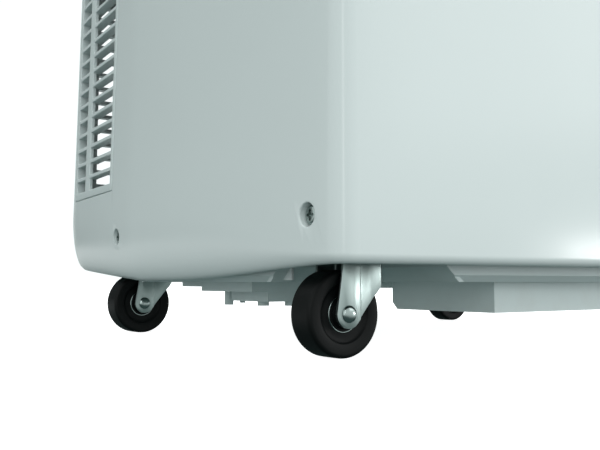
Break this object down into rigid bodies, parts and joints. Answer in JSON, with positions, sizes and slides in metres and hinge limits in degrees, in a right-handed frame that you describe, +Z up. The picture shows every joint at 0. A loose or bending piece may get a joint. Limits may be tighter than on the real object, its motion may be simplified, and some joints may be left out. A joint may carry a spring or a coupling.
{
  "type": "portable air conditioner",
  "caption": "Upright portable air conditioner on swivel casters, with louvred rear and side intakes, a top discharge flap and an exhaust collar.",
  "frame": {"origin": "centre of the plan on the floor under the casters", "axes": "+Z up, -Y is the front, +X to the right of the front, seen from above"},
  "size_m": [0.49, 0.45, 0.7929],
  "materials": {
    "shell_gloss": "glossy off-white, satin towards the sides",
    "shell_satin": "satin off-white",
    "pan_plastic": "satin light grey",
    "grille_plastic": "satin light grey",
    "filter_mesh": "dark frame and fine mesh",
    "zinc": "zinc-plated pressed steel",
    "caster_black": "black moulded wheel",
    "compressor_black": "black enamel",
    "rubber_black": "black rubber",
    "coil_fins": "aluminium fins",
    "copper_tube": "bare copper, dull",
    "inner_plastic": "grey moulded plastic",
    "motor_steel": "galvanised sheet steel",
    "dark_plastic": "charcoal moulded plastic",
    "screen": "smoked glossy window",
    "button_plastic": "satin light grey"
  },
  "bodies": {
    "cabinet": {"front_shell": "shell_gloss", "rear_shell": "shell_satin", "top_cover": "shell_satin", "base_pan": "pan_plastic", "side_grille_left": "grille_plastic", "side_grille_right": "grille_plastic", "handle_cup_left": "grille_plastic", "handle_cup_right": "grille_plastic", "exhaust_collar": "grille_plastic", "drain_spout": "grille_plastic", "housing_screw_1": "zinc", "housing_screw_2": "zinc", "housing_screw_3": "zinc", "housing_screw_4": "zinc", "caster_plate_front_left": "zinc", "caster_plate_rear_left": "zinc", "caster_plate_front_right": "zinc", "caster_plate_rear_right": "zinc", "compressor": "compressor_black", "compressor_foot_1": "rubber_black", "compressor_foot_2": "rubber_black", "compressor_foot_3": "rubber_black", "condenser_coil": "coil_fins", "evaporator_coil": "coil_fins", "suction_pipe": "copper_tube", "discharge_pipe": "copper_tube", "mid_partition": "inner_plastic", "evaporator_housing": "inner_plastic", "condenser_housing": "inner_plastic", "evaporator_motor": "motor_steel", "condenser_motor": "motor_steel", "control_box": "motor_steel", "run_capacitor": "motor_steel", "flap_motor": "motor_steel", "power_inlet": "dark_plastic", "control_panel": "dark_plastic", "display_window": "screen"},
    "caster_fork_front_left": {"caster_fork_front_left": "zinc"},
    "caster_wheel_front_left": {"caster_wheel_front_left": "caster_black"},
    "caster_fork_rear_left": {"caster_fork_rear_left": "zinc"},
    "caster_wheel_rear_left": {"caster_wheel_rear_left": "caster_black"},
    "caster_fork_front_right": {"caster_fork_front_right": "zinc"},
    "caster_wheel_front_right": {"caster_wheel_front_right": "caster_black"},
    "caster_fork_rear_right": {"caster_fork_rear_right": "zinc"},
    "caster_wheel_rear_right": {"caster_wheel_rear_right": "caster_black"},
    "discharge_flap": {"discharge_flap": "shell_satin"},
    "louvre_vane_1": {"louvre_vane_1": "grille_plastic"},
    "louvre_vane_2": {"louvre_vane_2": "grille_plastic"},
    "louvre_vane_3": {"louvre_vane_3": "grille_plastic"},
    "evaporator_blower": {"evaporator_blower": "dark_plastic"},
    "condenser_blower": {"condenser_blower": "dark_plastic"},
    "upper_intake": {"rear_grille_upper": "grille_plastic", "upper_filter": "filter_mesh"},
    "lower_intake": {"rear_grille_lower": "grille_plastic", "lower_filter": "filter_mesh"},
    "drain_cap": {"drain_cap": "rubber_black"},
    "button_power": {"button_power": "button_plastic"},
    "button_mode": {"button_mode": "button_plastic"},
    "button_cooler": {"button_cooler": "button_plastic"},
    "button_warmer": {"button_warmer": "button_plastic"}
  },
  "joints": [
    {"name": "swivel_front_left", "type": "hinge", "parent": "cabinet", "child": "caster_fork_front_left", "pos_m": [-0.1885, -0.172, 0.06], "axis": [0, 0, 1], "continuous": true},
    {"name": "roll_front_left", "type": "hinge", "parent": "caster_fork_front_left", "child": "caster_wheel_front_left", "pos_m": [-0.2102, -0.172, 0.025], "axis": [0, 1, 0], "continuous": true},
    {"name": "swivel_rear_left", "type": "hinge", "parent": "cabinet", "child": "caster_fork_rear_left", "pos_m": [-0.1885, 0.106, 0.06], "axis": [0, 0, 1], "continuous": true},
    {"name": "roll_rear_left", "type": "hinge", "parent": "caster_fork_rear_left", "child": "caster_wheel_rear_left", "pos_m": [-0.2102, 0.106, 0.025], "axis": [0, 1, 0], "continuous": true},
    {"name": "swivel_front_right", "type": "hinge", "parent": "cabinet", "child": "caster_fork_front_right", "pos_m": [0.1885, -0.172, 0.06], "axis": [0, 0, 1], "continuous": true},
    {"name": "roll_front_right", "type": "hinge", "parent": "caster_fork_front_right", "child": "caster_wheel_front_right", "pos_m": [0.1668, -0.172, 0.025], "axis": [0, 1, 0], "continuous": true},
    {"name": "swivel_rear_right", "type": "hinge", "parent": "cabinet", "child": "caster_fork_rear_right", "pos_m": [0.1885, 0.106, 0.06], "axis": [0, 0, 1], "continuous": true},
    {"name": "roll_rear_right", "type": "hinge", "parent": "caster_fork_rear_right", "child": "caster_wheel_rear_right", "pos_m": [0.1668, 0.106, 0.025], "axis": [0, 1, 0], "continuous": true},
    {"name": "flap_tilt", "type": "hinge", "parent": "cabinet", "child": "discharge_flap", "pos_m": [0, -0.108, 0.7895], "axis": [-1, 0, 0], "range_deg": [0, 75]},
    {"name": "vane_turn_1", "type": "hinge", "parent": "cabinet", "child": "louvre_vane_1", "pos_m": [-0.081, -0.144, 0.76], "axis": [0, 0, 1], "range_deg": [-35, 35]},
    {"name": "vane_turn_2", "type": "hinge", "parent": "cabinet", "child": "louvre_vane_2", "pos_m": [0, -0.144, 0.76], "axis": [0, 0, 1], "range_deg": [-35, 35]},
    {"name": "vane_turn_3", "type": "hinge", "parent": "cabinet", "child": "louvre_vane_3", "pos_m": [0.081, -0.144, 0.76], "axis": [0, 0, 1], "range_deg": [-35, 35]},
    {"name": "evaporator_fan_spin", "type": "hinge", "parent": "cabinet", "child": "evaporator_blower", "pos_m": [0, -0.143, 0.592], "axis": [0, 1, 0], "continuous": true},
    {"name": "condenser_fan_spin", "type": "hinge", "parent": "cabinet", "child": "condenser_blower", "pos_m": [0.07, 0.104, 0.212], "axis": [0, 1, 0], "continuous": true},
    {"name": "upper_intake_pull", "type": "slide", "parent": "cabinet", "child": "upper_intake", "axis": [0, 1, 0], "range_m": [0, 0.08]},
    {"name": "lower_intake_pull", "type": "slide", "parent": "cabinet", "child": "lower_intake", "axis": [0, 1, 0], "range_m": [0, 0.08]},
    {"name": "drain_cap_pull", "type": "slide", "parent": "cabinet", "child": "drain_cap", "axis": [0, 1, 0], "range_m": [0, 0.03]},
    {"name": "press_power", "type": "slide", "parent": "cabinet", "child": "button_power", "axis": [0, 0, -1], "range_m": [0, 0.0015], "stiffness_N_per_m": 300},
    {"name": "press_mode", "type": "slide", "parent": "cabinet", "child": "button_mode", "axis": [0, 0, -1], "range_m": [0, 0.0015], "stiffness_N_per_m": 300},
    {"name": "press_cooler", "type": "slide", "parent": "cabinet", "child": "button_cooler", "axis": [0, 0, -1], "range_m": [0, 0.0015], "stiffness_N_per_m": 300},
    {"name": "press_warmer", "type": "slide", "parent": "cabinet", "child": "button_warmer", "axis": [0, 0, -1], "range_m": [0, 0.0015], "stiffness_N_per_m": 300}
  ],
  "couplings": [
    {"joint": "vane_turn_2", "follows": "vane_turn_1", "ratio": 1},
    {"joint": "vane_turn_3", "follows": "vane_turn_1", "ratio": 1}
  ]
}
